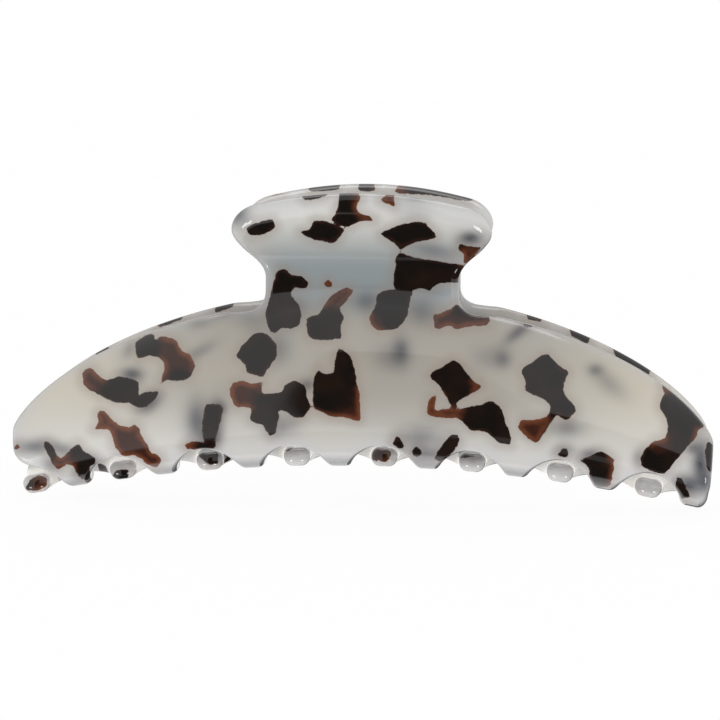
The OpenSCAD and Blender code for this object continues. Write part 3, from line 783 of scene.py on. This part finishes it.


# The acetate's colours, and where the milk changes from one to the next. The wing, low and tab tones are
# painted light; the waist, tip and rim greys are painted shade.
CREAM = (0.455, 0.42, 0.365)
MILK = (0.43, 0.42, 0.385)
LAVENDER = (0.58, 0.59, 0.64)
WING_PAINTED_LIGHT = (0.715, 0.66, 0.555)
LOW_PAINTED_LIGHT = (0.70, 0.69, 0.665)
TAB_PAINTED_LIGHT = (0.745, 0.735, 0.69)
WAIST_PAINTED_SHADE = (0.335, 0.375, 0.385)
GLOW = (0.28, 0.265, 0.235)
TIP_PAINTED_SHADE = (0.15, 0.16, 0.21)
GRAZING_PAINTED_SHADE = (0.12, 0.12, 0.12)
SHADOW = (0.06, 0.065, 0.085)
WARM = (0.36, 0.29, 0.25)
BLACK = (0.008, 0.006, 0.005)
DARK_BROWN = (0.018, 0.009, 0.006)
RED_BROWN = (0.045, 0.015, 0.009)
AMBER = (0.19, 0.060, 0.028)

# Distances from the middle and heights in metres, from where a tone starts to where it is complete.
WING_SPAN = (0.018, 0.052)
LOW_SPAN = (0.020, 0.006)
WAIST_HEIGHTS, WAIST_SPAN = (0.029, 0.034), (0.019, 0.011)
TAB_HEIGHTS = (0.0365, 0.0465)
# The same for the distance from the edge of the sheet and from a chip, in millimetres.
EDGE_SPAN = (0.6, 3.4)
HALO_SPAN = (-1.9, 0.1)

ACETATE_IOR = 1.49
SCATTER_RADIUS, SCATTER_SCALE = (1.0, 0.9, 0.85), 0.0016


def acetate():
    """Milky acetate with chips: crisp ones near the surface, and deep ones that show as shadows.

    The milk's tone follows the place on the clip, as painted light and shade: painted shade over the waist,
    on the front teeth's bottoms and at grazing edges, and painted light on the wings, the tab, the low part
    and the thin rim. The weak glow of the rear lip is painted light too.
    """
    material, nodes, shader, place = new_material("acetate")
    fine = nodes.noise(place, 1100, 3)
    broad = nodes.noise(place, 240, 3)
    cloud = nodes.noise(place, 60, 2)

    wobble = nodes.math("MULTIPLY", nodes.math("SUBTRACT", fine, 0.5), 0.5)
    chip = nodes.math("ADD", nodes.value("chip"), wobble)
    is_chip = nodes.step(chip, -0.06, 0.10)

    split = nodes.add("SeparateXYZ")
    nodes.put(split.inputs[0], place)
    across = nodes.math("ABSOLUTE", split.outputs[0])
    height = split.outputs[2]
    milk = nodes.mix(nodes.step(cloud, 0.35, 0.7), CREAM, MILK)
    # Painted light: the milk turns a brighter cream toward the wings.
    milk = nodes.mix(nodes.step(across, *WING_SPAN), milk, WING_PAINTED_LIGHT)
    # Painted light: the lower part of the sheet is paler, as if lit from the floor below.
    milk = nodes.mix(nodes.step(height, *LOW_SPAN), milk, LOW_PAINTED_LIGHT)
    # Painted shade: the concave waist is darker and bluish grey.
    waist = nodes.math("MULTIPLY", nodes.step(height, *WAIST_HEIGHTS), nodes.step(across, *WAIST_SPAN))
    milk = nodes.mix(waist, milk, WAIST_PAINTED_SHADE)
    # Painted light: the tab is paler toward its top.
    milk = nodes.mix(nodes.step(height, *TAB_HEIGHTS), milk, TAB_PAINTED_LIGHT)
    # Painted light: the thin rim is tinted lavender, for light coming through the edge.
    edge_painted_light = nodes.math("SUBTRACT", 1.0, nodes.step(nodes.value("edge"), *EDGE_SPAN))
    milk = nodes.mix(nodes.math("MULTIPLY", edge_painted_light, 0.3), milk, LAVENDER)
    # Painted shade: the front teeth's bottoms turn grey.
    milk = nodes.mix(nodes.math("MULTIPLY", nodes.value("tip"), 0.85), milk, TIP_PAINTED_SHADE)
    lit = nodes.value("lit")
    # Painted shade: surfaces seen at a grazing angle darken to grey, less so where the rear lip is lit.
    facing = nodes.step(nodes.add("LayerWeight").outputs["Facing"], 0.45, 0.95)
    dim = nodes.math("MULTIPLY", facing, nodes.math("MULTIPLY_ADD", lit, -0.85, 0.85))
    milk = nodes.mix(dim, milk, GRAZING_PAINTED_SHADE)
    halo = nodes.math("MULTIPLY", nodes.step(chip, *HALO_SPAN), 0.4)
    milk = nodes.mix(halo, milk, WARM)
    milk = nodes.mix(nodes.value("shade"), milk, SHADOW)

    drift = nodes.math("MULTIPLY", nodes.math("SUBTRACT", broad, 0.5), 2.2)
    brown = nodes.step(nodes.math("ADD", nodes.value("brown"), drift), -0.9, 1.0)
    rim = nodes.math("SUBTRACT", 1.0, nodes.step(nodes.math("ADD", chip, drift), 0.0, 0.35))
    thin = nodes.math("SUBTRACT", 1.0, nodes.step(nodes.math("MULTIPLY_ADD", drift, 0.5, chip), 0.0, 1.1))
    dark = nodes.mix(nodes.step(broad, 0.4, 0.75), BLACK, DARK_BROWN)
    dark = nodes.mix(nodes.math("MULTIPLY", rim, 0.45), dark, RED_BROWN)
    warm = nodes.mix(nodes.math("MULTIPLY", thin, 0.85), RED_BROWN, AMBER)
    colour = nodes.mix(is_chip, milk, nodes.mix(brown, dark, warm))
    nodes.put(shader.inputs["Base Color"], colour)
    glowing = nodes.math("MULTIPLY", lit, nodes.math("SUBTRACT", 1.0, is_chip))
    nodes.put(shader.inputs["Emission Color"], nodes.mix(glowing, (0.0, 0.0, 0.0), GLOW))
    shader.inputs["Emission Strength"].default_value = 1.0

    polish = nodes.add("MapRange")
    nodes.put(polish.inputs["Value"], broad)
    polish.inputs["To Min"].default_value = 0.045
    polish.inputs["To Max"].default_value = 0.09
    nodes.put(shader.inputs["Roughness"], polish.outputs["Result"])
    shader.inputs["IOR"].default_value = ACETATE_IOR
    clear = nodes.math("MULTIPLY", nodes.math("SUBTRACT", 1.0, is_chip), 0.22)
    nodes.put(shader.inputs["Subsurface Weight"], clear)
    shader.inputs["Subsurface Radius"].default_value = SCATTER_RADIUS
    shader.inputs["Subsurface Scale"].default_value = SCATTER_SCALE
    nodes.put(shader.inputs["Normal"], nodes.bump(nodes.noise(place, 170, 1), 0.05, 0.0004))
    return material


def plain_acetate():
    """Milky acetate of the lugs, with faint clouds."""
    material, nodes, shader, place = new_material("lug_acetate")
    cloud = nodes.noise(place, 260, 3)
    nodes.put(shader.inputs["Base Color"], nodes.mix(nodes.step(cloud, 0.35, 0.7), CREAM, MILK))
    worn = nodes.math("MULTIPLY_ADD", nodes.noise(place, 900, 3), 0.10, 0.10)
    nodes.put(shader.inputs["Roughness"], worn)
    shader.inputs["IOR"].default_value = ACETATE_IOR
    shader.inputs["Subsurface Weight"].default_value = 0.2
    shader.inputs["Subsurface Radius"].default_value = SCATTER_RADIUS
    shader.inputs["Subsurface Scale"].default_value = SCATTER_SCALE
    nodes.put(shader.inputs["Normal"], nodes.bump(nodes.noise(place, 400, 2), 0.08, 0.0003))
    return material


def steel(name, grey, roughness, scratch):
    """Plated steel with fine drawing marks along X."""
    material, nodes, shader, place = new_material(name)
    stretch = nodes.add("Mapping")
    nodes.put(stretch.inputs["Vector"], place)
    stretch.inputs["Scale"].default_value = (0.12, 1.0, 1.0)
    marks = nodes.noise(stretch.outputs["Vector"], 4200, 3)
    spots = nodes.noise(place, 700, 3)
    light = tuple(min(1.0, 1.12 * c) for c in grey)
    nodes.put(shader.inputs["Base Color"], nodes.mix(spots, grey, light))
    shader.inputs["Metallic"].default_value = 1.0
    nodes.put(shader.inputs["Roughness"], nodes.math("MULTIPLY_ADD", marks, 0.16, roughness))
    nodes.put(shader.inputs["Normal"], nodes.bump(marks, scratch, 0.0001))
    return material


# ---- The lugs, pin and caps: rounded copies of the CAD nodes ----

def rounded_copy(node, name, radius, material, body):
    """A copy of a CAD node with its sharp edges rounded by radius, in millimetres, to stand for the node."""
    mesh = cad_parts[node].data.copy()
    mesh.name = name
    mesh.materials.clear()
    work = bmesh.new()
    work.from_mesh(mesh)
    bmesh.ops.remove_doubles(work, verts=work.verts, dist=1e-6)
    bmesh.ops.dissolve_limit(work, angle_limit=math.radians(1), verts=work.verts, edges=work.edges)
    sharp = [e for e in work.edges if len(e.link_faces) == 2 and e.calc_face_angle() > math.radians(40)]
    bmesh.ops.bevel(work, geom=sharp, offset=radius * MM, segments=4, profile=0.5, affect="EDGES",
                    clamp_overlap=True)
    bmesh.ops.triangulate(work, faces=[f for f in work.faces if len(f.verts) > 4])
    work.to_mesh(mesh)
    work.free()
    mesh.materials.append(material)
    mesh.shade_smooth()
    mesh.set_sharp_from_angle(angle=math.radians(35))
    piece = bpy.data.objects.new(name, mesh)
    bpy.context.scene.collection.objects.link(piece)
    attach(piece, body)
    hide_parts(node)


# ---- The spring ----

WIRE_SIDES = 16
TURN_POINTS = 48
LEG_POINTS = 26
# The wire's rounded end: how far out each ring lies, and its size, both as shares of the radius.
WIRE_END = ((0.35, 0.93), (0.6, 0.72), (0.75, 0.4))
# The leg starts this far over the waist, in millimetres.
LEG_START = 1.2


def leg_line():
    """The leg on the front tab, from its tip down to the coil."""
    v = np.linspace(LEG_L, LEG_START, LEG_POINTS)
    angle = np.minimum(TAB_LEAN, v / TAB_BEND_R)
    off = HALF_T + LEG_GAP + WIRE_D / 2
    y, z = tab_section(v)
    x = np.full_like(v, -COIL_W / 2)
    return np.stack([x, y + off * np.cos(angle), z + off * np.sin(angle)], axis=1)


def spring_line():
    """Centre line of the wire: a leg, the coil, and the other leg."""
    turns = np.linspace(0, COIL_TURNS, int(COIL_TURNS * TURN_POINTS) + 1)
    angle = math.pi + turns * 2 * math.pi
    x = COIL_W * (turns / COIL_TURNS - 0.5)
    coil = np.stack([x, COIL_R * np.cos(angle), HINGE_Z + COIL_R * np.sin(angle)], axis=1)
    leg = leg_line()
    return np.concatenate([leg, coil, (leg * [-1, -1, 1])[::-1]])


def end_rings(ring, way, radius):
    """The rings that round the end of the wire, from its last full ring outward."""
    core = ring.mean(axis=0)
    return [core + (ring - core) * share + way * lift * radius for lift, share in WIRE_END]


def tube(line, radius, name):
    """A closed round tube along the line, with rounded ends."""
    ahead = unit(np.gradient(line, axis=0))
    side = np.array([1.0, 0, 0])
    rings = []
    angles = np.arange(WIRE_SIDES) * 2 * math.pi / WIRE_SIDES
    for point, way in zip(line, ahead):
        side = side - way * (side @ way)
        side = side / np.linalg.norm(side)
        up = np.cross(way, side)
        rings.append(point + radius * (np.cos(angles)[:, None] * side + np.sin(angles)[:, None] * up))
    first = end_rings(rings[0], -ahead[0], radius)
    last = end_rings(rings[-1], ahead[-1], radius)
    rings = first[::-1] + rings + last
    points = np.concatenate(rings)
    last_ring = (len(rings) - 1) * WIRE_SIDES
    faces = [
        (a + k, a + (k + 1) % WIRE_SIDES, a + WIRE_SIDES + (k + 1) % WIRE_SIDES, a + WIRE_SIDES + k)
        for a in range(0, last_ring, WIRE_SIDES) for k in range(WIRE_SIDES)
    ]
    faces.append(tuple(reversed(range(WIRE_SIDES))))
    faces.append(tuple(range(last_ring, last_ring + WIRE_SIDES)))
    mesh = bpy.data.meshes.new(name)
    mesh.from_pydata((points * MM).tolist(), [], faces)
    mesh.validate()
    mesh.shade_smooth()
    return mesh


def build_spring(material):
    mesh = tube(spring_line(), WIRE_D / 2, "spring_wire")
    mesh.materials.append(material)
    piece = bpy.data.objects.new("spring_wire", mesh)
    bpy.context.scene.collection.objects.link(piece)
    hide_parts("torsion_spring")
    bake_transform(piece)


# ---- The studio ----

def build_floor():
    bpy.ops.mesh.primitive_plane_add(size=6)
    floor = bpy.context.object
    floor.name = "floor"
    material = bpy.data.materials.new("floor_white")
    material.use_nodes = True
    shader = material.node_tree.nodes["Principled BSDF"]
    shader.inputs["Base Color"].default_value = (0.09, 0.09, 0.09, 1)
    shader.inputs["Roughness"].default_value = 0.9
    shader.inputs["Specular IOR Level"].default_value = 0.0
    shader.inputs["Emission Color"].default_value = (1, 1, 1, 1)
    shader.inputs["Emission Strength"].default_value = 0.93
    floor.data.materials.append(material)
    floor.visible_glossy = False


AMBIENT = 0.72
# What reflections alone see, in degrees: the azimuth from the camera's side, positive to the right, and the
# elevation. It is white above, and at each side from an azimuth and over an elevation.
TOP_FROM = 30
RIGHT_FROM, RIGHT_OVER = 14, -14
LEFT_FROM, LEFT_OVER = -10, -70
DARK, WHITE = 0.03, 0.97
BAND_UP, BAND_LIGHT = (-72, -62), 0.45
LOW_LAMP_UP, LOW_LAMP_ASIDE, LOW_LAMP_LIGHT = (-50, -38), (30, 55), 9.0
BACK_LAMP_UP, BACK_LAMP_ASIDE, BACK_LAMP_LIGHT = (58, 78), 120, 2.5
SOFT_EDGE = 1.2


def build_world():
    """An even white studio for the diffuse light and the camera, and a pattern that only reflections see.

    The pattern is white above and at the sides, dark where the photographer stands, with a dim band below,
    a low lamp at each side and one high up behind.
    """
    world = bpy.data.worlds.new("studio")
    world.use_nodes = True
    bpy.context.scene.world = world
    nodes = Nodes(world.node_tree)
    background = world.node_tree.nodes["Background"]
    way = nodes.add("SeparateXYZ")
    nodes.put(way.inputs[0], nodes.add("TexCoord").outputs["Generated"])
    x, y, z = way.outputs
    azimuth = nodes.math("ARCTAN2", x, nodes.math("MULTIPLY", y, -1.0))
    elevation = nodes.math("ARCSINE", z)
    soft = math.radians(SOFT_EDGE)

    def after(value, degrees):
        edge = math.radians(degrees)
        return nodes.step(value, edge - soft, edge + soft)

    def between(value, low, high):
        return nodes.math("MULTIPLY", after(value, low), nodes.math("SUBTRACT", 1.0, after(value, high)))

    top = after(elevation, TOP_FROM)
    right = nodes.math("MULTIPLY", after(azimuth, RIGHT_FROM), after(elevation, RIGHT_OVER))
    before_left = nodes.math("SUBTRACT", 1.0, after(azimuth, LEFT_FROM))
    left = nodes.math("MULTIPLY", before_left, after(elevation, LEFT_OVER))
    white = nodes.math("MAXIMUM", top, nodes.math("MAXIMUM", right, left))
    band = nodes.math("MULTIPLY", between(elevation, *BAND_UP), BAND_LIGHT)
    white = nodes.math("MAXIMUM", white, band)
    aside = nodes.math("ABSOLUTE", azimuth)
    low_lamps = nodes.math("MULTIPLY", between(elevation, *LOW_LAMP_UP), between(aside, *LOW_LAMP_ASIDE))
    low_lamps = nodes.math("MULTIPLY", low_lamps, LOW_LAMP_LIGHT)
    back_lamp = nodes.math("MULTIPLY", between(elevation, *BACK_LAMP_UP), after(aside, BACK_LAMP_ASIDE))
    back_lamp = nodes.math("MULTIPLY", back_lamp, BACK_LAMP_LIGHT)
    lamps = nodes.math("ADD", low_lamps, back_lamp)
    glossy = nodes.math("ADD", nodes.math("MULTIPLY_ADD", white, WHITE, DARK), lamps)
    path = nodes.add("LightPath")
    share = path.outputs["Is Glossy Ray"]
    camera = path.outputs["Is Camera Ray"]
    plain = nodes.math("MULTIPLY_ADD", camera, 1.0 - AMBIENT, AMBIENT)
    change = nodes.math("MULTIPLY", share, nodes.math("SUBTRACT", glossy, AMBIENT))
    strength = nodes.math("ADD", plain, change)
    background.inputs["Color"].default_value = (1, 1, 1, 1)
    nodes.put(background.inputs["Strength"], strength)


def softbox(name, place, aim, size, power):
    light = bpy.data.lights.new(name, "AREA")
    light.shape = "RECTANGLE"
    light.size, light.size_y = size
    light.energy = power
    lamp = bpy.data.objects.new(name, light)
    lamp.location = place
    lamp.rotation_euler = (Vector(aim) - Vector(place)).to_track_quat("-Z", "Y").to_euler()
    lamp.visible_glossy = False
    bpy.context.scene.collection.objects.link(lamp)


def build_camera():
    camera = bpy.data.objects.new("camera", bpy.data.cameras.new("camera"))
    camera.data.lens = LENS
    camera.data.sensor_width = SENSOR
    place = (TARGET + DISTANCE * BACK) * MM
    turned = Matrix([RIGHT, UP, BACK]).transposed().to_4x4()
    camera.matrix_world = Matrix.Translation(Vector(place)) @ turned
    bpy.context.scene.collection.objects.link(camera)
    bpy.context.scene.camera = camera


# ---- The scene ----

jaw_finish = acetate()
build_front_jaw(jaw_finish)
build_rear_jaw(jaw_finish)
lug_finish = plain_acetate()
for body in ("front", "rear"):
    for hand in ("left", "right"):
        lug = f"{body}_lug_{hand}"
        rounded_copy(lug, f"{lug}_rounded", 0.55, lug_finish, body)
pin_finish = steel("steel", (0.62, 0.61, 0.60), 0.16, 0.12)
rounded_copy("hinge_pin", "hinge_pin_rod", 0.15, pin_finish, "front")
for hand in ("left", "right"):
    rounded_copy(f"pin_cap_{hand}", f"pin_cap_{hand}_dome", 0.2, pin_finish, "front")
build_spring(steel("spring_steel", (0.50, 0.49, 0.48), 0.20, 0.2))

build_floor()
build_world()
middle = (0, 0, 0.022)
for name, x in (("left_strip", -0.38), ("right_strip", 0.38)):
    softbox(name, (x, -0.28, 0.06), middle, (0.02, 0.10), 0.1)
build_camera()
bpy.context.scene.view_settings.view_transform = "Standard"
